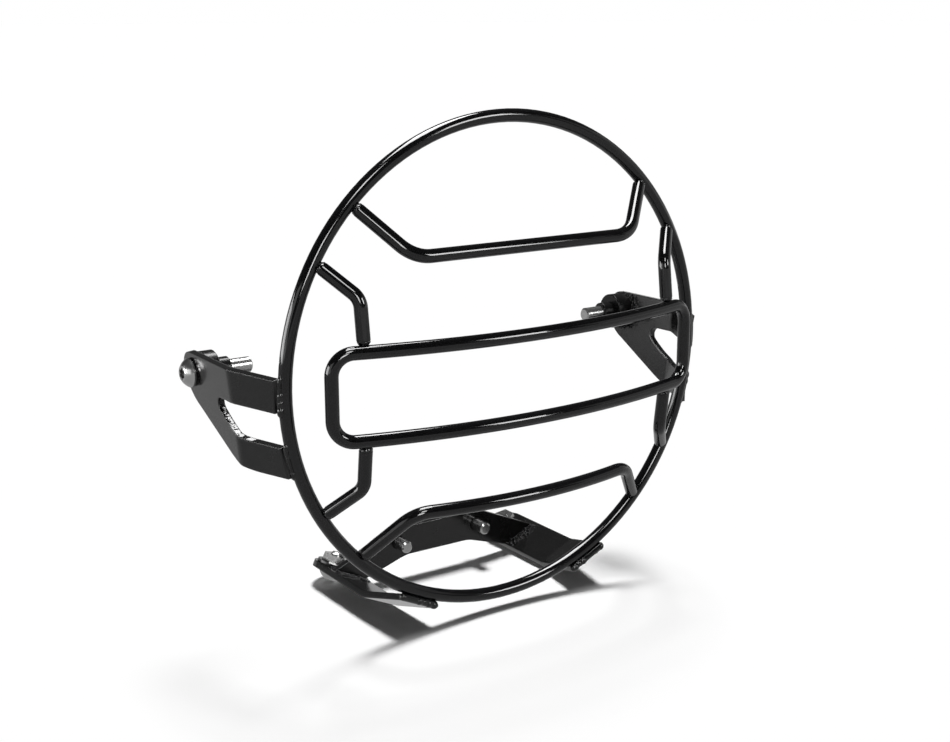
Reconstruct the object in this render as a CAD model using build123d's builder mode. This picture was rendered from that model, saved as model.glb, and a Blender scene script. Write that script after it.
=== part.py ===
"""Motorcycle headlight guard: a round wire grille with welded brackets and its fixing bolts.

Origin at the centre of the ring, +Z up, +Y back towards the headlight, front towards -Y. Millimetres.
"""
from build123d import *
from math import asin, cos, degrees, radians, sin, sqrt, tan
import os

os.makedirs("parts", exist_ok=True)

# Round bar that the grille is bent from
rod_r = 2.5
ring_r = 92.5          # centreline of the ring
weld_r = 2.4           # bead that fills the gap before the ring or the loop
weld_back = 4.0        # squared end of a rod, and its bead's centre, back from the joint

# Upper bar: straight, with two legs to the ring
upper_half = 48.4      # bend points from the middle
upper_y = -14.6
upper_z = 46.6
upper_bend = 13.0
bar_joint_angle = 45.0  # where the legs of the upper and lower bars meet the ring

# Centre loop: two bowed bars joined by short upright ends
loop_bow_r = 258.0
loop_y = -24.3         # foremost point of the bow
loop_z = 15.8          # height of each bar above and below the middle
loop_half_angle = 16.4  # where the bowed bars run into the corners
loop_corner_r = 8.0

# Side struts: from the ring forward to the loop
strut_joint_angle = 30.0  # on the ring, above and below the middle
strut_x = 68.75
strut_y = -11.7
strut_z = 34.0
strut_bend = 7.0
strut_set = 1.0        # foot, behind the centreline of the loop

# Lower bar: bowed forward, with two legs to the ring
lower_bow_r = 185.0
lower_y = -20.4
lower_z = -46.8
lower_half = 43.2      # ends of the bow, from the middle
lower_bend_run = 6.0   # length of each tangent into the bend

# Bent plate brackets
plate_t = 2.5
bend_r = 4.0           # inside of the bend

# Side brackets, leaning with the ring's outline; distances are to the outer face
side_lean = 6.5        # below the ring's middle
side_out_rear = 103.1  # at the bolt
side_out_bend = 103.8
side_out_front = 95.5  # at the front edge, on the back of the ring
side_bend_y = 19.0
side_bolt_y = 52.8
side_end_r = 7.9
side_top = 19.9        # top edge, along the leaning plate
side_heel = (50.6, -0.6)  # where the rounded rear end runs into the sloping lower edge
side_toe_corner = (19.1, -16.9)
side_toe_r = 45.0
side_tab_low = -18.7
side_cope_y = 1.4      # front edge at the middle of its cope
side_cope_r = 95.0
side_weld_ring = 94.6  # bead between the tab's front edge and the ring
side_weld_r = 1.2

# Tab fronts of the lower arms
tab_front = -1.5
tab_weld_r = 1.5

# Bolt stack of a side bracket, along X
bolt_r = 3.0           # free end
shank_r = 2.7          # inside the stack
bolt_tip = 80.5
collar_end = 89.5
collar_r = 4.3
boss_end = 95.2
boss_r = 7.5
head_seat = 104.7
head_r = 5.5
head_h = 3.3
washer_r = 5.2
bolt_chamfer = 0.6

# Lower arms, strips tangent to the ring at five and seven o'clock
arm_angle = 25.0       # from straight down
arm_half = 8.55
arm_seat = 101.6
arm_slope = 16.5
arm_bolt_y = 60.0
arm_tip = 96.0         # bolt end, from the ring's centre
arm_nut_t = 3.2
arm_nut_r = 5.7
arm_washer_t = 1.2
arm_washer_r = 7.4

# Cross plate between the arms, with two bolts that point forward
cross_y = 47.9         # front face
cross_top = -77.0
cross_low = -89.4
cross_shoulder = 21.0  # where the top edge turns down
cross_arch = 15.5      # where the lower edge turns down
cross_bend = 9.0
front_bolt_x = 19.4
front_bolt_z = -83.2
front_bolt_r = 2.5
front_shank_r = 2.3    # inside the plate
front_bolt_tip = 40.3
front_head_r = 4.75
front_head_h = 2.75


def ring_point(angle):
    """A point on the ring's centreline, counted from +X towards +Z."""
    return Vector(ring_r * cos(radians(angle)), 0, ring_r * sin(radians(angle)))


def along(start, goal, distance):
    """The point at a distance from start on the way to goal."""
    return start + (goal - start).normalized() * distance


def save(piece, name):
    """Label a finished piece and write it."""
    piece.label = name
    export_step(piece, f"parts/{name}.step")


def save_pair(right, name):
    """Write the right-hand piece and its mirror image."""
    save(right, f"right_{name}")
    save(mirror(right, about=Plane.YZ), f"left_{name}")


def button_head(seat, radius, height, socket_r, sockets=6):
    """Low domed screw head on a plane, with a six-lobed socket."""
    dome_r = (radius ** 2 + height ** 2) / (2 * height) * 1.12
    rim_h = height * 0.18
    with BuildPart() as head:
        with BuildSketch(Plane.XZ):
            with BuildLine():
                Line((0, 0), (radius, 0))
                Line((radius, 0), (radius, rim_h))
                RadiusArc((radius, rim_h), (socket_r * 1.25, height), -dome_r)
                Line((socket_r * 1.25, height), (0, height))
                Line((0, height), (0, 0))
            make_face()
        revolve(axis=Axis.Z)
        with BuildSketch(Plane.XY.offset(height)):
            Circle(socket_r * 0.78)
            with PolarLocations(socket_r * 0.78, sockets):
                Circle(socket_r * 0.24)
        extrude(amount=-height * 0.55, mode=Mode.SUBTRACT)
    return seat * head.part


# The ring: one hoop of round bar
with BuildPart() as ring:
    with BuildSketch(Plane.XY):
        with Locations((ring_r, 0)):
            Circle(rod_r)
    revolve(axis=Axis.Y)

# Upper bar
upper_left = Vector(-upper_half, upper_y, upper_z)
upper_right = Vector(upper_half, upper_y, upper_z)
upper_ends = (along(ring_point(180 - bar_joint_angle), upper_left, weld_back),
              along(ring_point(bar_joint_angle), upper_right, weld_back))

with BuildPart() as upper_bar:
    with BuildLine() as route:
        FilletPolyline(upper_ends[0], upper_left, upper_right, upper_ends[1], radius=upper_bend)
    with BuildSketch(Plane(origin=route.wire() @ 0, z_dir=route.wire() % 0)):
        Circle(rod_r)
    sweep(path=route.wire())
    with Locations(upper_ends):
        Sphere(weld_r)
    add(ring.part, mode=Mode.SUBTRACT)


def loop_point(angle, z):
    """A point on the bowed centreline of the loop."""
    turn = radians(angle)
    return Vector(loop_bow_r * sin(turn), loop_y + loop_bow_r * (1 - cos(turn)), z)


# Centre loop: bowed bars, quarter-round corners and upright ends, closed on itself
loop_out = Vector(cos(radians(loop_half_angle)), sin(radians(loop_half_angle)), 0)
loop_corner = loop_out * loop_corner_r - Vector(0, 0, loop_corner_r)

with BuildPart() as half_loop:
    with BuildLine() as route:
        top = ThreePointArc(loop_point(0, loop_z), loop_point(loop_half_angle / 2, loop_z),
                            loop_point(loop_half_angle, loop_z))
        upper_corner = TangentArc(top @ 1, (top @ 1) + loop_corner, tangent=loop_out)
        side = Line(upper_corner @ 1, (upper_corner @ 1) - Vector(0, 0, 2 * (loop_z - loop_corner_r)))
        lower_corner = TangentArc(side @ 1, loop_point(loop_half_angle, -loop_z), tangent=(0, 0, -1))
        ThreePointArc(lower_corner @ 1, loop_point(loop_half_angle / 2, -loop_z), loop_point(0, -loop_z))
    with BuildSketch(Plane(origin=route.wire() @ 0, z_dir=route.wire() % 0)):
        Circle(rod_r)
    sweep(path=route.wire())

with BuildPart() as centre_loop:
    add(half_loop.part)
    mirror(half_loop.part, about=Plane.YZ)

# Side struts: the upper right one, coped to the ring and to the loop
strut_corner = Vector(strut_x, strut_y, strut_z)
strut_foot_y = loop_y + loop_bow_r - sqrt(loop_bow_r ** 2 - strut_x ** 2) + strut_set
strut_start = along(ring_point(strut_joint_angle), strut_corner, weld_back)
strut_end = along(Vector(strut_x, strut_foot_y, loop_z), strut_corner, weld_back)

with BuildPart() as upper_strut:
    with BuildLine() as route:
        FilletPolyline(strut_start, strut_corner, strut_end, radius=strut_bend)
    with BuildSketch(Plane(origin=route.wire() @ 0, z_dir=route.wire() % 0)):
        Circle(rod_r)
    sweep(path=route.wire())
    with Locations(strut_start, strut_end):
        Sphere(weld_r)
    add(ring.part, mode=Mode.SUBTRACT)
    add(centre_loop.part, mode=Mode.SUBTRACT)

lower_strut = mirror(upper_strut.part, about=Plane.XY)

# Lower bar
lower_middle = Vector(0, lower_y + lower_bow_r, lower_z)
lower_turn = degrees(asin(lower_half / lower_bow_r))


def lower_point(angle):
    """A point on the bowed centreline of the lower bar."""
    return lower_middle + Vector(sin(radians(angle)), -cos(radians(angle)), 0) * lower_bow_r


lower_end = ring_point(-bar_joint_angle)
lower_out = Vector(cos(radians(lower_turn)), sin(radians(lower_turn)), 0)
lower_corner_right = lower_point(lower_turn) + lower_out * lower_bend_run
lower_leg_start = along(lower_corner_right, lower_end, lower_bend_run)
lower_stop = along(lower_end, lower_leg_start, weld_back)

with BuildPart() as half_lower:
    with BuildLine() as route:
        bow = ThreePointArc(lower_point(0), lower_point(lower_turn / 2), lower_point(lower_turn))
        bend = TangentArc(bow @ 1, lower_leg_start, tangent=lower_out)
        Line(bend @ 1, lower_stop)
    with BuildSketch(Plane(origin=route.wire() @ 0, z_dir=route.wire() % 0)):
        Circle(rod_r)
    sweep(path=route.wire())
    with Locations(lower_stop):
        Sphere(weld_r)
    add(ring.part, mode=Mode.SUBTRACT)

with BuildPart() as lower_bar:
    add(half_lower.part)
    mirror(half_lower.part, about=Plane.YZ)


def bracket_frame(angle):
    """Outward and upward directions of a plate that is tangent to the ring at an angle below +X."""
    outward = Vector(cos(radians(angle)), 0, -sin(radians(angle)))
    upward = Vector(sin(radians(angle)), 0, cos(radians(angle)))
    return outward, upward


# Side bracket, right: cut plate with two tabs, bent to meet the back of the ring
side_out, side_up = bracket_frame(side_lean)
side_bolt_w = side_out_rear * tan(radians(side_lean))
side_face = Plane(origin=(0, 0, 0), x_dir=(0, 1, 0), z_dir=side_out)
side_edge = Plane(origin=(0, 0, 0), x_dir=(0, 1, 0), z_dir=-side_up)
side_toe = (side_out_bend - side_out_rear) / (side_bolt_y - side_bend_y)
side_slope = (side_out_bend - side_out_front) / side_bend_y


def cope(w):
    """Front edge of the tabs at a height along the plate, following the ring."""
    return Vector(side_cope_y - side_cope_r + sqrt(side_cope_r ** 2 - w ** 2), w)


def tab_bead(low, high):
    """Weld bead along the ring in front of a tab, between two heights along the plate."""
    turns = [degrees(asin(w / side_weld_ring)) - side_lean for w in (low, (low + high) / 2, high)]
    stops = [Vector(side_weld_ring * cos(radians(t)), -0.2, side_weld_ring * sin(radians(t))) for t in turns]
    with BuildPart() as bead:
        with BuildLine() as route:
            ThreePointArc(*stops)
        with BuildSketch(Plane(origin=route.wire() @ 0, z_dir=route.wire() % 0)):
            Circle(side_weld_r)
        sweep(path=route.wire())
        with Locations(stops[0], stops[2]):
            Sphere(side_weld_r)
    return bead.part


with BuildPart() as side_bracket:
    with BuildSketch(side_edge):
        with BuildLine():
            outer = FilletPolyline((-6, side_out_front - 6 * side_slope), (side_bend_y, side_out_bend),
                                   (side_bolt_y + 20, side_out_rear - 20 * side_toe), radius=bend_r + plate_t)
            offset(amount=plate_t, side=Side.RIGHT)
        make_face()
    extrude(amount=60, both=True)
    with BuildSketch(side_face):
        with BuildLine():
            rim = CenterArc((side_bolt_y, side_bolt_w), side_end_r, 90, -90)
            heel = ThreePointArc(rim @ 1, (58.0, 5.4), side_heel)
            lower = FilletPolyline(side_heel, side_toe_corner, cope(side_tab_low), radius=side_toe_r)
            low_front = ThreePointArc(cope(side_tab_low), cope(-13), cope(-7.3))
            low_edge = Polyline(low_front @ 1, (14.0, -5.9), (17.6, -5.3))
            heel_curve = ThreePointArc(low_edge @ 1, (26.0, -1.1), (31.0, 2.4))
            throat = ThreePointArc(heel_curve @ 1, (31.7, 5.0), (29.0, 7.3))
            high_edge = Polyline(throat @ 1, (19.0, 7.4), cope(5.4))
            high_front = ThreePointArc(high_edge @ 1, cope(12), cope(17.6))
            Polyline(high_front @ 1, (side_bend_y, side_top), rim @ 0)
        make_face()
    extrude(amount=130, mode=Mode.INTERSECT)
    with BuildSketch(Plane.YZ.offset(boss_end)):
        with Locations((side_bolt_y, 0)):
            Circle(shank_r)
    extrude(amount=20, mode=Mode.SUBTRACT)
    add(tab_bead(6.6, 16.6))
    add(tab_bead(-17.2, -8.0))
    add(ring.part, mode=Mode.SUBTRACT)

# The bracket's two faces where the bolt passes, as planes
rear_normal = (side_out + Vector(0, 1, 0) * side_toe).normalized()
outer_face = Plane(origin=side_out * side_out_rear + Vector(0, side_bolt_y, 0), z_dir=rear_normal)
inner_face = Plane(origin=outer_face.origin - rear_normal * plate_t, z_dir=rear_normal)
side_axis = Plane(origin=(boss_end, side_bolt_y, 0), x_dir=(0, 1, 0), z_dir=(1, 0, 0))

# Welded boss, coaxial with the bolt, its outer end cut to the leaning plate
with BuildPart() as side_boss:
    with BuildSketch(side_axis):
        Circle(boss_r)
        Circle(shank_r, mode=Mode.SUBTRACT)
    extrude(amount=head_seat - boss_end)
    chamfer(side_boss.edges().group_by(Axis.X)[0].filter_by(GeomType.CIRCLE), length=0.4)
    split(bisect_by=inner_face, keep=Keep.BOTTOM)

# Wedge washer between the leaning plate and the square head
with BuildPart() as side_washer:
    with BuildSketch(side_axis):
        Circle(washer_r)
        Circle(shank_r, mode=Mode.SUBTRACT)
    extrude(amount=head_seat - boss_end)
    split(bisect_by=outer_face, keep=Keep.TOP)

# Collar between the boss and the free end of the bolt
with BuildPart() as side_collar:
    with BuildSketch(side_axis):
        Circle(collar_r)
        Circle(shank_r, mode=Mode.SUBTRACT)
    extrude(amount=collar_end - boss_end)
    rims = side_collar.edges().group_by(Axis.X)[0].filter_by(GeomType.CIRCLE).sort_by(SortBy.RADIUS)
    chamfer(rims[-1], length=0.4)

# Side bolt with its head outside
with BuildPart() as side_bolt:
    with BuildSketch(Plane(origin=(bolt_tip, side_bolt_y, 0), x_dir=(0, 1, 0), z_dir=(1, 0, 0))):
        Circle(bolt_r)
    extrude(amount=collar_end - bolt_tip)
    chamfer(side_bolt.edges().group_by(Axis.X)[0], length=bolt_chamfer)
    with BuildSketch(Plane(origin=(collar_end, side_bolt_y, 0), x_dir=(0, 1, 0), z_dir=(1, 0, 0))):
        Circle(shank_r)
    extrude(amount=head_seat - collar_end)
    add(button_head(Plane(origin=(head_seat, side_bolt_y, 0), z_dir=(1, 0, 0)), head_r, head_h, 2.3))

# Lower arm, right: a strip tangent to the ring, bent once
arm_out, arm_up = bracket_frame(90 - arm_angle)
arm_face = Plane(origin=(0, 0, 0), x_dir=(0, 1, 0), z_dir=arm_out)
arm_edge = Plane(origin=(0, 0, 0), x_dir=(0, 1, 0), z_dir=-arm_up)

arm_tangent = tan(radians(arm_slope))
arm_tab_seat = ring_r + rod_r / cos(radians(arm_slope))  # inner face, touching the ring's tube
arm_bend_y = (arm_seat - arm_tab_seat) / arm_tangent
past_tab = tab_front - 5

with BuildPart() as lower_arm:
    with BuildSketch(arm_edge):
        with BuildLine():
            inner = FilletPolyline((tab_front, arm_tab_seat + tab_front * arm_tangent), (arm_bend_y, arm_seat),
                                   (arm_bolt_y + 20, arm_seat), radius=bend_r)
            offset(amount=plate_t, side=Side.LEFT)
        make_face()
    extrude(amount=20, both=True)
    with BuildSketch(arm_face):
        with BuildLine():
            Polyline((arm_bolt_y, arm_half), (past_tab, arm_half), (past_tab, -arm_half), (arm_bolt_y, -arm_half))
            ThreePointArc((arm_bolt_y, -arm_half), (arm_bolt_y + arm_half, 0), (arm_bolt_y, arm_half))
        make_face()
    extrude(amount=130, mode=Mode.INTERSECT)
    with BuildSketch(arm_face):
        with Locations((arm_bolt_y, 0)):
            Circle(bolt_r)
    extrude(amount=130, mode=Mode.SUBTRACT)
    bead_line = Vector(0, tab_front - 0.1, 0) + arm_out * (arm_tab_seat + 0.7)
    with BuildSketch(Plane(origin=bead_line - arm_up * (arm_half - 1), z_dir=arm_up)):
        Circle(tab_weld_r)
    extrude(amount=2 * arm_half - 2)
    with Locations(bead_line - arm_up * (arm_half - 1), bead_line + arm_up * (arm_half - 1)):
        Sphere(tab_weld_r)
    add(ring.part, mode=Mode.SUBTRACT)


def arm_station(distance):
    """Plane square to the arm's bolt, at a distance from the ring's centre, facing outwards."""
    return Plane(origin=Vector(0, arm_bolt_y, 0) + arm_out * distance, x_dir=(0, 1, 0), z_dir=arm_out)


with BuildPart() as arm_washer:
    with BuildSketch(arm_station(arm_seat)):
        Circle(arm_washer_r)
        Circle(bolt_r, mode=Mode.SUBTRACT)
    extrude(amount=-arm_washer_t)

with BuildPart() as arm_nut:
    with BuildSketch(arm_station(arm_seat - arm_washer_t)):
        RegularPolygon(radius=arm_nut_r, side_count=6)
        Circle(bolt_r, mode=Mode.SUBTRACT)
    extrude(amount=-arm_nut_t)

with BuildPart() as arm_bolt:
    with BuildSketch(arm_station(arm_tip)):
        Circle(bolt_r)
    extrude(amount=arm_seat + plate_t - arm_tip)
    chamfer(arm_bolt.edges().filter_by(GeomType.CIRCLE).sort_by(Axis.Z)[-1], length=bolt_chamfer)
    add(button_head(arm_station(arm_seat + plate_t), head_r, head_h, 2.3))

# Cross plate: a bridge whose ends are cut to the arms' inner faces
arm_top_end = arm_out * arm_seat + arm_up * (arm_half - 1.9)
arm_low_end = arm_out * arm_seat - arm_up * arm_half

with BuildPart() as cross_plate:
    with BuildSketch(Plane.XZ.offset(-cross_y)):
        with BuildLine():
            top = FilletPolyline((0, cross_top), (cross_shoulder, cross_top), (arm_top_end.X, arm_top_end.Z),
                                 radius=cross_bend)
            low = FilletPolyline((0, cross_low), (cross_arch, cross_low), (arm_low_end.X, arm_low_end.Z),
                                 radius=cross_bend * 1.8)
            Line(top @ 1, low @ 1)
            Line(low @ 0, top @ 0)
        make_face()
        mirror(about=Plane.YZ)
    extrude(amount=-plate_t)
    with BuildSketch(Plane.XZ.offset(-cross_y)):
        with Locations((front_bolt_x, front_bolt_z), (-front_bolt_x, front_bolt_z)):
            Circle(front_shank_r)
    extrude(amount=-plate_t, mode=Mode.SUBTRACT)

# Bolt through the cross plate, its head behind
with BuildPart() as front_bolt:
    with BuildSketch(Plane(origin=(front_bolt_x, front_bolt_tip, front_bolt_z), z_dir=(0, 1, 0))):
        Circle(front_bolt_r)
    extrude(amount=cross_y - front_bolt_tip)
    chamfer(front_bolt.edges().group_by(Axis.Y)[0], length=bolt_chamfer)
    with BuildSketch(Plane(origin=(front_bolt_x, cross_y, front_bolt_z), z_dir=(0, 1, 0))):
        Circle(front_shank_r)
    extrude(amount=plate_t)
    add(button_head(Plane(origin=(front_bolt_x, cross_y + plate_t, front_bolt_z), z_dir=(0, 1, 0)),
                    front_head_r, front_head_h, 1.9))

save(ring.part, "ring")
save(upper_bar.part, "upper_bar")
save(centre_loop.part, "centre_loop")
save(lower_bar.part, "lower_bar")
save(cross_plate.part, "cross_plate")
save_pair(upper_strut.part, "upper_strut")
save_pair(lower_strut, "lower_strut")
save_pair(side_bracket.part, "side_bracket")
save_pair(side_boss.part, "side_boss")
save_pair(side_washer.part, "side_washer")
save_pair(side_collar.part, "side_collar")
save_pair(side_bolt.part, "side_bolt")
save_pair(lower_arm.part, "lower_arm")
save_pair(arm_washer.part, "arm_washer")
save_pair(arm_nut.part, "arm_nut")
save_pair(arm_bolt.part, "arm_bolt")
save_pair(front_bolt.part, "front_bolt")
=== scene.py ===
"""Studio scene for a motorcycle headlight guard: black powder-coated wire grille with stainless fixings."""
import math

import bpy
from mathutils import Matrix, Vector


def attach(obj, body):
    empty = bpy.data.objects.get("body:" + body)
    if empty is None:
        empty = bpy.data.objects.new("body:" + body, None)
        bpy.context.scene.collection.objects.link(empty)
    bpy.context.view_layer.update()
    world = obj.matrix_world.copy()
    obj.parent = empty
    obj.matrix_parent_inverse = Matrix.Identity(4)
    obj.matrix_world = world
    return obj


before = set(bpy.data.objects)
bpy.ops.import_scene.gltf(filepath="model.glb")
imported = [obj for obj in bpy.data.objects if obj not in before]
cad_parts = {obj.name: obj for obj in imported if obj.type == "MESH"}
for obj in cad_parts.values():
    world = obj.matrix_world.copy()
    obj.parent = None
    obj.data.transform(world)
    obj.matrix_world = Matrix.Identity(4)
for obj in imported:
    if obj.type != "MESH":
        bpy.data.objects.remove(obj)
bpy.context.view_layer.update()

MM = 0.001
WHITE = (1.0, 1.0, 1.0, 1.0)
scene = bpy.context.scene
scene.view_settings.view_transform = "Standard"

# Camera: place in metres, its three directions, lens and sensor in mm
CAMERA_PLACE = (-0.30755, -0.43260, 0.12724)
CAMERA_RIGHT = (0.82641, -0.56306, -0.00242)
CAMERA_UP = (0.13672, 0.19650, 0.97093)
CAMERA_BACK = (-0.54621, -0.80272, 0.23937)
LENS = 54.47
SENSOR_WIDTH = 36.0
HALF_PIXEL = 0.000526   # as a share of a picture 950 pixels wide
CLIP_START = 0.01
CLIP_END = 200.0

# Floor and key light
FLOOR_Z = -0.0987
FLOOR_HALF = 60.0
FLOOR_LIGHTING = (0.80, 0.80, 0.80, 1.0)   # the floor's colour for the light that it throws back
FLOOR_SEEN = (0.97, 0.97, 0.97, 1.0)       # the floor's colour for the eye
FLOOR_GRAIN_SCALE = 900.0
FLOOR_GRAIN_STRENGTH = 0.02
PALE_IN_GLOSS = 0.62    # level of the floor in mirror rays, pale grey where it leaves the lit patch
LIGHT_TOWARDS = Vector((0.315, 0.406, 1.0)).normalized()
SUN_STRENGTH = 3.48
SUN_ANGLE = math.radians(14.0)

# Painted light on the floor: white that fades the cast shadow, in metres from none to all between two
# depths, and between two distances
PAINTED_SHADOW_FADE = 0.85
THIN_DEPTHS = (-0.001, -0.022)
THIN_DISTANCES = (0.060, 0.088)
THIN_CENTRE = (0.0, 0.022, FLOOR_Z)

# World: levels of radiance, and the height, as a share of a ray's length, where the backdrop ends
FILL_WORLD = 0.07       # diffuse light from the room
CEILING = 0.08          # the dark room above the backdrop, in reflections
BACKDROP_TOP = (0.02, 0.12)

# Reflection panels: name, azimuth (0 behind, 90 right), elevation, width and height in degrees, radiance
LAMP_DISTANCE = 2.0
PANELS = (
    ("overhead_panel", 30.0, 78.0, 24.0, 42.0, 26.0),
    ("left_panel", -66.0, 8.0, 42.0, 20.0, 11.0),
    ("left_panel_wide", -102.0, 12.0, 34.0, 26.0, 1.8),
    ("front_left_panel", -157.0, 20.0, 13.0, 17.0, 22.0),
    ("front_left_high_panel", -160.0, 47.0, 13.0, 15.0, 22.0),
    ("front_right_panel", 148.0, 22.0, 13.0, 17.0, 22.0),
    ("right_panel_wide", 105.0, 16.0, 50.0, 28.0, 0.5),
)


def build_camera():
    """The camera, in front of the guard, to its left and a little above."""
    data = bpy.data.cameras.new("view_camera")
    data.sensor_width = SENSOR_WIDTH
    data.lens = LENS
    data.shift_x = -HALF_PIXEL
    data.shift_y = HALF_PIXEL
    data.clip_start = CLIP_START
    data.clip_end = CLIP_END
    camera = bpy.data.objects.new("view_camera", data)
    turned = Matrix((CAMERA_RIGHT, CAMERA_UP, CAMERA_BACK)).transposed().to_4x4()
    camera.matrix_world = Matrix.Translation(CAMERA_PLACE) @ turned
    scene.collection.objects.link(camera)
    scene.camera = camera


def feed(tree, socket, value):
    """Link an output to a socket, or set the socket to a constant."""
    if isinstance(value, bpy.types.NodeSocket):
        tree.links.new(value, socket)
    else:
        socket.default_value = value


def add_node(tree, kind, inputs=None, **settings):
    """A node with its settings, and its inputs, by name or number, linked or set."""
    node = tree.nodes.new(kind)
    for key, value in settings.items():
        setattr(node, key, value)
    for key, value in (inputs or {}).items():
        feed(tree, node.inputs[key], value)
    return node


def calculate(tree, operation, *values):
    """The result of a maths node on numbers or outputs."""
    return add_node(tree, "ShaderNodeMath", dict(enumerate(values)), operation=operation).outputs[0]


def ramp(tree, value, start, stop, low=0.0, high=1.0, kind="LINEAR"):
    """A value brought from start..stop to low..high and held at both ends."""
    ends = {"Value": value, "From Min": start, "From Max": stop, "To Min": low, "To Max": high}
    return add_node(tree, "ShaderNodeMapRange", ends, interpolation_type=kind).outputs["Result"]


def mix_shaders(tree, share, first, second):
    """Two shaders, mixed by the second one's share."""
    return add_node(tree, "ShaderNodeMixShader", {"Fac": share, 1: first, 2: second}).outputs[0]


def new_material(name):
    """A node material and its tree, still empty."""
    material = bpy.data.materials.new(name)
    material.use_nodes = True
    material.node_tree.nodes.clear()
    return material, material.node_tree


def white_to_eye(tree):
    """1 on camera, mirror and glass rays, 0 on the rays that carry diffuse light."""
    path = add_node(tree, "ShaderNodeLightPath").outputs
    seen = calculate(tree, "MAXIMUM", path["Is Camera Ray"], path["Is Glossy Ray"])
    return calculate(tree, "MAXIMUM", seen, path["Is Transmission Ray"])


def painted_fade_share(tree):
    """Share of painted white on the floor, which fades the shadow forwards and sideways from the arms, as
    if under a larger lamp.
    """
    place = add_node(tree, "ShaderNodeTexCoord").outputs["Object"]
    depth = add_node(tree, "ShaderNodeSeparateXYZ", {"Vector": place}).outputs["Y"]
    forward = ramp(tree, depth, *THIN_DEPTHS, kind="SMOOTHSTEP")
    apart = add_node(tree, "ShaderNodeVectorMath", operation="DISTANCE", inputs={0: place, 1: THIN_CENTRE})
    sideways = ramp(tree, apart.outputs["Value"], *THIN_DISTANCES, kind="SMOOTHSTEP")
    return calculate(tree, "MULTIPLY", calculate(tree, "MAXIMUM", forward, sideways), PAINTED_SHADOW_FADE)


def build_floor_material():
    """Matt white to the eye, with painted white fading the shadow away from the arms; pale and plain in
    mirror rays.
    """
    material, tree = new_material("floor_white")
    seen = white_to_eye(tree)
    shade = add_node(tree, "ShaderNodeMix", {"Factor": seen, "A": FLOOR_LIGHTING, "B": FLOOR_SEEN},
                     data_type="RGBA")
    grain = add_node(tree, "ShaderNodeTexNoise", {"Scale": FLOOR_GRAIN_SCALE})
    bump = add_node(tree, "ShaderNodeBump",
                    {"Strength": FLOOR_GRAIN_STRENGTH, "Height": grain.outputs["Fac"]})
    diffuse = add_node(tree, "ShaderNodeBsdfDiffuse",
                       {"Color": shade.outputs["Result"], "Normal": bump.outputs["Normal"]})
    # Painted light: white emission, mixed in by place on the floor to fade the cast shadow
    painted_white = add_node(tree, "ShaderNodeEmission", {"Strength": 1.0})
    share = calculate(tree, "MULTIPLY", painted_fade_share(tree), seen)
    lit_and_painted = mix_shaders(tree, share, diffuse.outputs[0], painted_white.outputs[0])
    pale = add_node(tree, "ShaderNodeEmission", {"Strength": PALE_IN_GLOSS})
    in_gloss = add_node(tree, "ShaderNodeLightPath").outputs["Is Glossy Ray"]
    surface = mix_shaders(tree, in_gloss, lit_and_painted, pale.outputs[0])
    add_node(tree, "ShaderNodeOutputMaterial", {"Surface": surface})
    return material


def build_floor():
    """A wide plain floor whose lit part reads white and which keeps the object's shadow, faded further out
    by painted light.
    """
    mesh = bpy.data.meshes.new("floor")
    corners = [(x * FLOOR_HALF, y * FLOOR_HALF, FLOOR_Z) for x, y in ((-1, -1), (1, -1), (1, 1), (-1, 1))]
    mesh.from_pydata(corners, [], [(0, 1, 2, 3)])
    mesh.materials.append(build_floor_material())
    floor = bpy.data.objects.new("floor", mesh)
    scene.collection.objects.link(floor)


def build_world():
    """White to the eye and low down in reflections, dim overhead and as a source of light."""
    world = bpy.data.worlds.new("studio")
    scene.world = world
    world.use_nodes = True
    tree = world.node_tree
    tree.nodes.clear()
    towards = add_node(tree, "ShaderNodeTexCoord").outputs["Generated"]
    height = add_node(tree, "ShaderNodeSeparateXYZ", {"Vector": towards}).outputs["Z"]
    backdrop = ramp(tree, height, *BACKDROP_TOP, low=1.0, high=CEILING, kind="SMOOTHSTEP")
    on_camera = add_node(tree, "ShaderNodeLightPath").outputs["Is Camera Ray"]
    seen = calculate(tree, "MAXIMUM", backdrop, on_camera)
    strength = add_node(tree, "ShaderNodeMix", {"Factor": white_to_eye(tree), "A": FILL_WORLD, "B": seen})
    background = add_node(tree, "ShaderNodeBackground",
                          {"Color": WHITE, "Strength": strength.outputs["Result"]})
    add_node(tree, "ShaderNodeOutputWorld", {"Surface": background.outputs[0]})


def direction(azimuth, elevation):
    """Unit vector from the object, azimuth 0 towards +Y and 90 towards +X."""
    turn, lift = math.radians(azimuth), math.radians(elevation)
    return Vector((math.sin(turn) * math.cos(lift), math.cos(turn) * math.cos(lift), math.sin(lift)))


def build_sun():
    """Broad soft key light from behind and above, the one that casts the shadow."""
    data = bpy.data.lights.new("key_light", "SUN")
    data.energy = SUN_STRENGTH
    data.angle = SUN_ANGLE
    lamp = bpy.data.objects.new("key_light", data)
    lamp.rotation_mode = "QUATERNION"
    lamp.rotation_quaternion = LIGHT_TOWARDS.to_track_quat("Z", "Y")
    lamp.visible_glossy = False
    scene.collection.objects.link(lamp)


def build_panels():
    """Studio panels that only show in gloss, so that colours keep their plain level of light."""
    for name, azimuth, elevation, width, height, radiance in PANELS:
        data = bpy.data.lights.new(name, "AREA")
        data.shape = "RECTANGLE"
        data.size = 2 * LAMP_DISTANCE * math.tan(math.radians(width / 2))
        data.size_y = 2 * LAMP_DISTANCE * math.tan(math.radians(height / 2))
        data.energy = radiance * math.pi * data.size * data.size_y
        lamp = bpy.data.objects.new(name, data)
        towards = direction(azimuth, elevation)
        side = direction(azimuth - 90.0, 0.0)
        turned = Matrix((side, towards.cross(side), towards)).transposed().to_4x4()
        lamp.matrix_world = Matrix.Translation(towards * LAMP_DISTANCE) @ turned
        lamp.visible_diffuse = False
        lamp.visible_camera = False
        scene.collection.objects.link(lamp)


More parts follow.
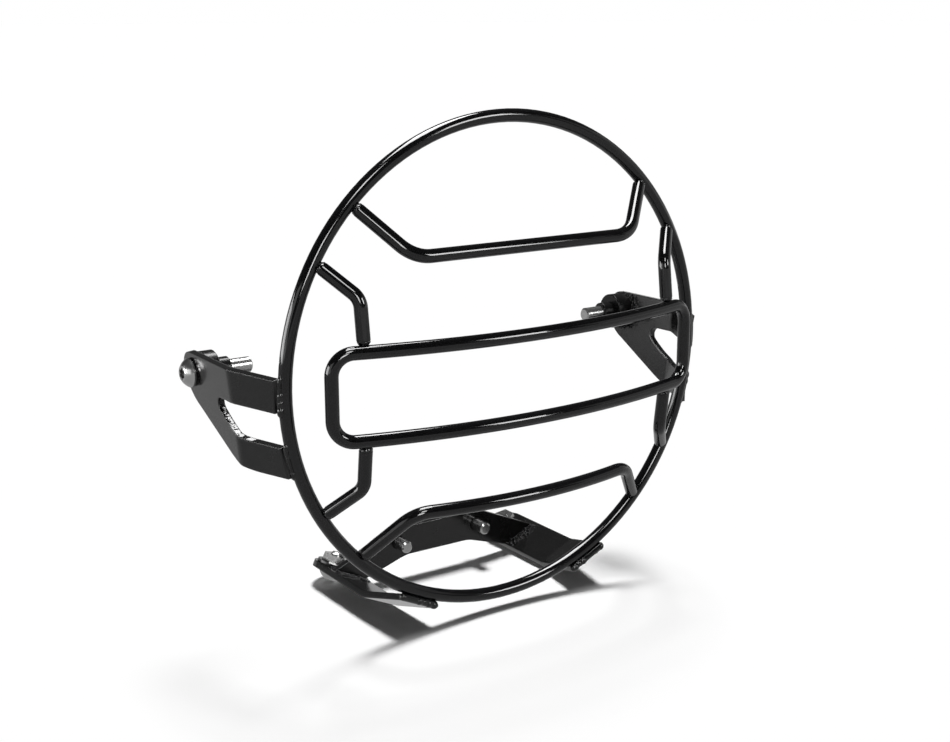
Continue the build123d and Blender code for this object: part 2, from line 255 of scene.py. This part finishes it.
# Shared shader groups: scales are per metre, heights and distances in metres
MOTTLE_SCALE = 120.0
HAZE_SCALE = 60.0
PAINT_BUMP = {"Strength": 0.6, "Distance": 0.0004}
STEEL_CLOUD_SCALE = 240.0
STEEL_ROUGH_SPREAD = 0.12
BEVEL_SAMPLES = 6

# Notch walls of the side plates: the notch's middle, the distances from it where the coarse relief fades,
# and how far a wall faces sideways where it fades
NOTCH_MIDDLE = (0.0, 0.0222, -0.0125)
NOTCH_FADE = (0.0102, 0.0080)
SIDEWAYS_FADE = (0.40, 0.25)
DROSS_SCALE = 230.0


def add_sockets(tree, way, **kinds):
    """A tree's inputs or outputs, each with the kind of value that it carries."""
    for name, kind in kinds.items():
        tree.interface.new_socket(name.replace("_", " "), in_out=way, socket_type="NodeSocket" + kind)


def new_group(name, **inputs):
    """A shader group with a dark colour, a pale one, a roughness and its further inputs."""
    group = bpy.data.node_groups.new(name, "ShaderNodeTree")
    add_sockets(group, "INPUT", Dark="Color", Pale="Color", Rough="Float", **inputs)
    add_sockets(group, "OUTPUT", Color="Color", Roughness="Float")
    source = add_node(group, "NodeGroupInput").outputs
    place = add_node(group, "ShaderNodeTexCoord").outputs
    return group, source, place


def noise(tree, place, scale, detail):
    """Noise fixed to the object."""
    values = {"Vector": place["Object"], "Scale": scale, "Detail": detail}
    return add_node(tree, "ShaderNodeTexNoise", values).outputs["Fac"]


def dark_to_pale(tree, source, mask):
    """The group's two colours, mixed by a mask."""
    colours = {"Factor": mask, "A": source["Dark"], "B": source["Pale"]}
    return add_node(tree, "ShaderNodeMix", colours, data_type="RGBA").outputs["Result"]


def notch_walls(tree, place):
    """1 on the walls of the side plates' notches: near the notch, and facing neither left nor right."""
    facing = add_node(tree, "ShaderNodeSeparateXYZ", {"Vector": place["Normal"]}).outputs["X"]
    cut = ramp(tree, calculate(tree, "ABSOLUTE", facing), *SIDEWAYS_FADE)
    middle_plane = add_node(tree, "ShaderNodeVectorMath", operation="MULTIPLY",
                            inputs={0: place["Object"], 1: (0.0, 1.0, 1.0)})
    from_notch = add_node(tree, "ShaderNodeVectorMath", operation="DISTANCE",
                          inputs={0: middle_plane.outputs["Vector"], 1: NOTCH_MIDDLE})
    near = ramp(tree, from_notch.outputs["Value"], *NOTCH_FADE)
    return calculate(tree, "MULTIPLY", near, cut)


def build_paint_group():
    """Powder coat: orange peel, faint mottling of colour and gloss, coarse relief on the notch walls."""
    group, source, place = new_group("powder_coat", Rough_Spread="Float", Peel_Scale="Float",
                                     Peel_Height="Float", Edge_Radius="Float", Cut_Height="Float")
    add_sockets(group, "OUTPUT", Normal="Vector")
    colour = dark_to_pale(group, source, noise(group, place, MOTTLE_SCALE, detail=4.0))
    rough = calculate(group, "MULTIPLY_ADD", noise(group, place, HAZE_SCALE, detail=3.0),
                      source["Rough Spread"], source["Rough"])
    peel = calculate(group, "MULTIPLY", noise(group, place, source["Peel Scale"], detail=2.0),
                     source["Peel Height"])
    dross = calculate(group, "MULTIPLY", noise(group, place, DROSS_SCALE, detail=2.0),
                      notch_walls(group, place))
    relief = calculate(group, "MULTIPLY_ADD", dross, source["Cut Height"], peel)
    edge = add_node(group, "ShaderNodeBevel", {"Radius": source["Edge Radius"]}, samples=BEVEL_SAMPLES)
    bump = add_node(group, "ShaderNodeBump",
                    {"Height": relief, "Normal": edge.outputs["Normal"], **PAINT_BUMP})
    add_node(group, "NodeGroupOutput",
             {"Color": colour, "Roughness": rough, "Normal": bump.outputs["Normal"]})
    return group


def build_metal_group():
    """Turned stainless: a clouded colour, and a fine grain in the gloss."""
    group, source, place = new_group("turned_metal", Line_Scale="Float")
    colour = dark_to_pale(group, source, noise(group, place, STEEL_CLOUD_SCALE, detail=5.0))
    rough = calculate(group, "MULTIPLY_ADD", noise(group, place, source["Line Scale"], detail=3.0),
                      STEEL_ROUGH_SPREAD, source["Rough"])
    add_node(group, "NodeGroupOutput", {"Color": colour, "Roughness": rough})
    return group


# What each of a group's outputs drives
SHADER_INPUTS = {"Color": "Base Color", "Roughness": "Roughness", "Normal": "Normal"}


def finish_material(name, group, specular, metallic=0.0, **inputs):
    """A surface whose colour, gloss and relief come from a shared group."""
    material, tree = new_material(name)
    named = {key.replace("_", " "): value for key, value in inputs.items()}
    detail = add_node(tree, "ShaderNodeGroup", named, node_tree=group)
    surface = add_node(tree, "ShaderNodeBsdfPrincipled",
                       {"Metallic": metallic, "Specular IOR Level": specular,
                        **{SHADER_INPUTS[output.name]: output for output in detail.outputs}})
    add_node(tree, "ShaderNodeOutputMaterial", {"Surface": surface.outputs["BSDF"]})
    return material


def grey(level, blue=0.0):
    """A grey, with a little more or less blue."""
    return (level, level, level + blue, 1.0)


build_camera()
build_floor()
build_world()
build_sun()
build_panels()

powder_coat = build_paint_group()
turned_metal = build_metal_group()

rod_paint = finish_material(
    "rod_gloss_black", powder_coat, specular=0.36, Dark=grey(0.003, 0.0005), Pale=grey(0.008, 0.001),
    Rough=0.06, Rough_Spread=0.04, Peel_Scale=700.0, Peel_Height=0.012, Edge_Radius=0.0)
plate_paint = finish_material(
    "plate_satin_black", powder_coat, specular=0.36, Dark=grey(0.009), Pale=grey(0.015),
    Rough=0.10, Rough_Spread=0.05, Peel_Scale=900.0, Peel_Height=0.04, Edge_Radius=0.0006)
cut_plate_paint = finish_material(
    "cut_plate_satin_black", powder_coat, specular=0.34, Dark=grey(0.009), Pale=grey(0.015),
    Rough=0.12, Rough_Spread=0.05, Peel_Scale=900.0, Peel_Height=0.04, Edge_Radius=0.0008, Cut_Height=6.0)
bead_paint = finish_material(
    "bead_satin_black", powder_coat, specular=0.36, Dark=grey(0.005), Pale=grey(0.012),
    Rough=0.14, Rough_Spread=0.06, Peel_Scale=900.0, Peel_Height=0.08, Edge_Radius=0.0)
# Painted shade: matt black for the rings round the front pins, standing for the shade at their base
shade_ring_black = finish_material(
    "gap_matt_black", powder_coat, specular=0.10, Dark=grey(0.002), Pale=grey(0.004),
    Rough=0.50, Rough_Spread=0.10, Peel_Scale=1500.0, Peel_Height=0.10, Edge_Radius=0.0)
weld_paint = finish_material(
    "weld_gloss_black", powder_coat, specular=0.35, Dark=grey(0.003, 0.0005), Pale=grey(0.010, 0.001),
    Rough=0.07, Rough_Spread=0.06, Peel_Scale=1500.0, Peel_Height=0.20, Edge_Radius=0.0)
turned_black = finish_material(
    "turned_gloss_black", powder_coat, specular=0.20, Dark=grey(0.004), Pale=grey(0.012),
    Rough=0.20, Rough_Spread=0.08, Peel_Scale=900.0, Peel_Height=0.03, Edge_Radius=0.0002)
stainless = finish_material(
    "stainless_bolt", turned_metal, specular=0.5, metallic=1.0, Dark=grey(0.30), Pale=grey(0.42, -0.005),
    Rough=0.17, Line_Scale=2600.0)

# Finish of each kind of CAD node, for the left one and the right one alike
LOOKS = {
    "ring": rod_paint, "upper_bar": rod_paint, "centre_loop": rod_paint, "lower_bar": rod_paint,
    "upper_strut": rod_paint, "lower_strut": rod_paint,
    "side_bracket": cut_plate_paint, "lower_arm": plate_paint, "cross_plate": plate_paint,
    "side_boss": turned_black, "side_collar": turned_black, "side_washer": turned_black,
    "arm_washer": turned_black,
    "side_bolt": stainless, "arm_bolt": stainless, "arm_nut": stainless, "front_bolt": stainless,
}


def paint_cad_nodes():
    """Give every node of the frame its finish."""
    for name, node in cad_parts.items():
        kind = name.replace("left_", "").replace("right_", "")
        node.data.materials.clear()
        node.data.materials.append(LOOKS[kind])


# Places on the guard, in mm: the right half and the upper strut, which are mirrored for the others
RING_RADIUS = 92.5
LOOP_BOW = 258.0
LOOP_FRONT = -23.3
LOOP_HALF_HEIGHT = 15.8
STRUT_X = 68.75
STRUT_CORNER = Vector((STRUT_X, -11.7, 34.0))
UPPER_BAR_CORNER = Vector((48.4, -14.6, 46.6))
LOWER_BAR_CORNER = Vector((48.9, -13.8, -46.8))
BAR_ANGLE = 45
STRUT_ANGLE = 30
BEAD_REACH = 3.35       # middle of the gap before a rod's squared end
BEAD_CIRCLE = 1.70
BEAD_POINTS = 24
FIRST_SEED = 11

# Side plate: lean of the plate, inner face as a plane, the bolt's depth, the bead along the ring
LEAN = math.radians(6.5)
PLATE_NORMAL = Vector((0.9934, 0.0207, -0.1132))
PLATE_INNER = 101.671
BOLT_Y = 52.8
TAB_BEAD_RADIUS = 94.6
TAB_BEAD_Y = -0.35
TAB_BEADS = ((6.0, 17.2), (-17.8, -7.4))
BOSS_ARCS = ((7.8, 84), (8.8, 60), (9.9, 48), (11.0, 36), (12.4, 28))   # radius, reach in degrees

# Lower arm: outward and upward directions, the bead at the ring, the rows of weld at the cross plate
ARM_TURN = math.radians(65.0)
ARM_OUT = Vector((math.cos(ARM_TURN), 0, -math.sin(ARM_TURN)))
ARM_UP = Vector((math.sin(ARM_TURN), 0, math.cos(ARM_TURN)))
ARM_BEAD = (95.85, -1.7, -7.0, 7.0)     # distance from the ring's centre, depth, ends
ARM_SEAT = 101.45
CROSS_FRONT = 47.9
CROSS_BACK = 50.4
ROWS_IN_FRONT = (0.2, 1.0, 1.8, 2.6, 3.5, 4.4)
ROWS_BEHIND = (0.2, 1.0, 1.8)
ROW_ENDS = (-8.0, 6.3)
LINE_STEPS = 12
ARC_STEPS = 24

# Front pins: their places, and the ring of painted shade round each one at the cross plate
PIN_X = 19.4
PIN_Z = -83.2
SHADE_RING_Y = 47.8
SHADE_RING_RADIUS = 2.62
SHADE_RING_TUBE = 0.30
SHADE_RING_AROUND = 40
SHADE_RING_ACROSS = 10

# Scatter of the ripples: smallest and largest share of the lump's size
LUMP_SPREAD = (0.80, 1.15)


def build_ripple_tree():
    """Geometry nodes: a rounded lump on every point of a line, turned along it and shaken a little."""
    tree = bpy.data.node_groups.new("weld_ripples", "GeometryNodeTree")
    tree.is_modifier = True
    add_sockets(tree, "INPUT", Geometry="Geometry", Spacing="Float", Lump_Size="Float", Flatness="Float",
                Shake="Float", Seed="Int", Material="Material")
    add_sockets(tree, "OUTPUT", Geometry="Geometry")
    source = add_node(tree, "NodeGroupInput").outputs
    line = add_node(tree, "GeometryNodeMeshToCurve", {"Mesh": source["Geometry"]})
    points = add_node(tree, "GeometryNodeCurveToPoints", mode="LENGTH",
                      inputs={"Curve": line.outputs["Curve"], "Length": source["Spacing"]}).outputs
    lump = add_node(tree, "GeometryNodeMeshIcoSphere", {"Radius": source["Lump Size"], "Subdivisions": 2})
    smooth = add_node(tree, "GeometryNodeSetShadeSmooth", {"Geometry": lump.outputs["Mesh"]})

    # A random number's sockets go by number, because those of its other kinds have the same names
    smallest, largest = LUMP_SPREAD
    size = add_node(tree, "FunctionNodeRandomValue", data_type="FLOAT",
                    inputs={2: smallest, 3: largest, "Seed": source["Seed"]}).outputs[1]
    narrow = calculate(tree, "MULTIPLY", size, source["Flatness"])
    scale = add_node(tree, "ShaderNodeCombineXYZ", {"X": size, "Y": size, "Z": narrow})
    put = add_node(tree, "GeometryNodeInstanceOnPoints", {
        "Points": points["Points"], "Instance": smooth.outputs["Geometry"], "Rotation": points["Rotation"],
        "Scale": scale.outputs["Vector"]})
    shake = add_node(tree, "FunctionNodeRandomValue", data_type="FLOAT_VECTOR",
                     inputs={0: (-1.0, -1.0, -1.0), 1: (1.0, 1.0, 1.0), "Seed": source["Seed"]})
    offset = add_node(tree, "ShaderNodeVectorMath", operation="SCALE",
                      inputs={0: shake.outputs[0], "Scale": source["Shake"]})
    move = add_node(tree, "GeometryNodeTranslateInstances",
                    {"Instances": put.outputs["Instances"], "Translation": offset.outputs["Vector"]})
    solid = add_node(tree, "GeometryNodeRealizeInstances", {"Geometry": move.outputs["Instances"]})
    painted = add_node(tree, "GeometryNodeSetMaterial",
                       {"Geometry": solid.outputs["Geometry"], "Material": source["Material"]})
    add_node(tree, "NodeGroupOutput", {"Geometry": painted.outputs["Geometry"]})
    return tree


def socket_id(tree, name):
    """The identifier of a tree's input, which the modifier is set by."""
    for item in tree.interface.items_tree:
        if item.item_type == "SOCKET" and item.in_out == "INPUT" and item.name == name:
            return item.identifier
    raise KeyError(name)


def weld_line(name, lines, paint, seed, spacing, lump, flatness, shake, closed=False):
    """A weld bead with ripples along lines of points in metres, as a plain mesh; its sizes are in mm."""
    mesh = bpy.data.meshes.new(name + "_lines")
    points, edges = [], []
    for line in lines:
        first = len(points)
        points.extend(line)
        edges.extend((first + i, first + i + 1) for i in range(len(line) - 1))
        if closed:
            edges.append((len(points) - 1, first))
    mesh.from_pydata([tuple(point) for point in points], edges, [])
    guide = bpy.data.objects.new(name + "_guide", mesh)
    scene.collection.objects.link(guide)
    modifier = guide.modifiers.new("ripples", "NODES")
    modifier.node_group = ripple_tree
    values = {"Spacing": spacing * MM, "Lump Size": lump * MM, "Flatness": flatness, "Shake": shake * MM,
              "Seed": seed, "Material": paint}
    for label, value in values.items():
        modifier[socket_id(ripple_tree, label)] = value
    bpy.context.view_layer.update()
    evaluated = guide.evaluated_get(bpy.context.evaluated_depsgraph_get())
    made = bpy.data.meshes.new_from_object(evaluated)
    made.name = name
    bpy.data.objects.remove(guide)
    piece = bpy.data.objects.new(name, made)
    scene.collection.objects.link(piece)
    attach(piece, "root")


def circle_line(centre, axis, radius, count):
    """Points round a circle about an axis, all in metres."""
    side = axis.orthogonal().normalized()
    other = axis.cross(side)
    turns = [math.radians(360.0 * i / count) for i in range(count)]
    return [centre + (side * math.cos(turn) + other * math.sin(turn)) * radius for turn in turns]


def ring_point(angle):
    """A point of the ring's centreline in mm, angle from +X towards +Z in degrees."""
    turn = math.radians(angle)
    return Vector((RING_RADIUS * math.cos(turn), 0.0, RING_RADIUS * math.sin(turn)))


def loop_point(x):
    """A point of the loop's bowed upper bar in mm."""
    return Vector((x, LOOP_FRONT + LOOP_BOW - math.sqrt(LOOP_BOW ** 2 - x ** 2), LOOP_HALF_HEIGHT))


def mirrored(point, across, upward=1):
    """A point taken to the other side by -1 across, and to the other half of the height by -1 upward."""
    return Vector((point.x * across, point.y, point.z * upward))


def both_sides(lines):
    """The lines, in mm on the right, as metres on both sides."""
    return [[mirrored(point, side) * MM for point in line] for side in (1, -1) for line in lines]


def rod_joints():
    """Each kind of joint: its name, its point on the ring or loop, the rod's next corner, its images."""
    bars = ((1, 1), (-1, 1))
    struts = ((1, 1), (-1, 1), (1, -1), (-1, -1))
    return (
        ("upper_bar", ring_point(BAR_ANGLE), UPPER_BAR_CORNER, bars),
        ("lower_bar", ring_point(-BAR_ANGLE), LOWER_BAR_CORNER, bars),
        ("strut_to_ring", ring_point(STRUT_ANGLE), STRUT_CORNER, struts),
        ("strut_to_loop", loop_point(STRUT_X), STRUT_CORNER, struts),
    )


def build_rod_welds():
    """A ring of small ripples in the gap at each rod's end."""
    for seed, (name, joint, corner, images) in enumerate(rod_joints(), start=FIRST_SEED):
        lines = []
        for image in images:
            start = mirrored(joint, *image)
            axis = (mirrored(corner, *image) - start).normalized()
            middle = (start + axis * BEAD_REACH) * MM
            lines.append(circle_line(middle, axis, BEAD_CIRCLE * MM, BEAD_POINTS))
        weld_line("weld_" + name, lines, weld_paint, seed=seed, spacing=1.15, lump=0.78,
                  flatness=0.95, shake=0.14, closed=True)


def on_side_plate(y, z):
    """A point of the right side plate's inner face at a depth and a height."""
    return Vector(((PLATE_INNER - PLATE_NORMAL.y * y - PLATE_NORMAL.z * z) / PLATE_NORMAL.x, y, z))


def boss_arc(radius, reach):
    """Points round the front half of the boss, on the plate."""
    turns = [math.radians(-reach + 2 * reach * i / ARC_STEPS) for i in range(ARC_STEPS + 1)]
    return [on_side_plate(BOLT_Y - radius * math.cos(turn), radius * math.sin(turn)) for turn in turns]


def evenly(low, high):
    """Numbers from low to high at even steps."""
    return [low + (high - low) * i / LINE_STEPS for i in range(LINE_STEPS + 1)]


def tab_line(low, high):
    """The bead along the ring in front of a tab, between two heights along the plate."""
    turns = [math.asin(height / TAB_BEAD_RADIUS) - LEAN for height in evenly(low, high)]
    return [Vector((TAB_BEAD_RADIUS * math.cos(turn), TAB_BEAD_Y, TAB_BEAD_RADIUS * math.sin(turn)))
            for turn in turns]


def arm_line(distance, y, low, high):
    """A straight line across the arm, at a distance from the ring's centre and a depth."""
    return [ARM_OUT * distance + Vector((0, y, 0)) + ARM_UP * across for across in evenly(low, high)]


def build_plate_welds():
    """Beads at the tabs, granular weld round the bosses and in the corners of the cross plate."""
    weld_line("weld_side_tabs", both_sides([tab_line(*ends) for ends in TAB_BEADS]), bead_paint,
              seed=31, spacing=2.5, lump=1.26, flatness=1.6, shake=0.14)
    weld_line("weld_arm_tabs", both_sides([arm_line(*ARM_BEAD)]), bead_paint,
              seed=37, spacing=2.3, lump=1.56, flatness=1.3, shake=0.18)
    weld_line("weld_side_bosses", both_sides([boss_arc(*arc) for arc in BOSS_ARCS]), weld_paint,
              seed=41, spacing=1.05, lump=0.46, flatness=0.9, shake=0.42)
    depths = [CROSS_FRONT - step for step in ROWS_IN_FRONT] + [CROSS_BACK + step for step in ROWS_BEHIND]
    rows = [arm_line(ARM_SEAT, depth, *ROW_ENDS) for depth in depths]
    weld_line("weld_cross_plate", both_sides(rows), weld_paint,
              seed=43, spacing=0.95, lump=0.40, flatness=0.9, shake=0.40)


def build_pin_shade_rings():
    """Painted shade: a thin matt black ring round each front pin, where it leaves the cross plate, for the
    shade at its base.
    """
    points, faces = [], []
    for side in (1, -1):
        first = len(points)
        for i in range(SHADE_RING_AROUND):
            turn = math.tau * i / SHADE_RING_AROUND
            for j in range(SHADE_RING_ACROSS):
                lift = math.tau * j / SHADE_RING_ACROSS
                radius = SHADE_RING_RADIUS + SHADE_RING_TUBE * math.cos(lift)
                points.append(Vector((side * PIN_X + radius * math.cos(turn),
                                      SHADE_RING_Y + SHADE_RING_TUBE * math.sin(lift),
                                      PIN_Z + radius * math.sin(turn))) * MM)
        for i in range(SHADE_RING_AROUND):
            here = first + i * SHADE_RING_ACROSS
            after = first + (i + 1) % SHADE_RING_AROUND * SHADE_RING_ACROSS
            for j in range(SHADE_RING_ACROSS):
                up = (j + 1) % SHADE_RING_ACROSS
                faces.append([here + j, after + j, after + up, here + up])
    mesh = bpy.data.meshes.new("pin_gaps")
    mesh.from_pydata([tuple(point) for point in points], [], faces)
    mesh.materials.append(shade_ring_black)
    mesh.shade_smooth()
    piece = bpy.data.objects.new("pin_gaps", mesh)
    scene.collection.objects.link(piece)
    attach(piece, "root")


paint_cad_nodes()
ripple_tree = build_ripple_tree()
build_rod_welds()
build_plate_welds()
build_pin_shade_rings()
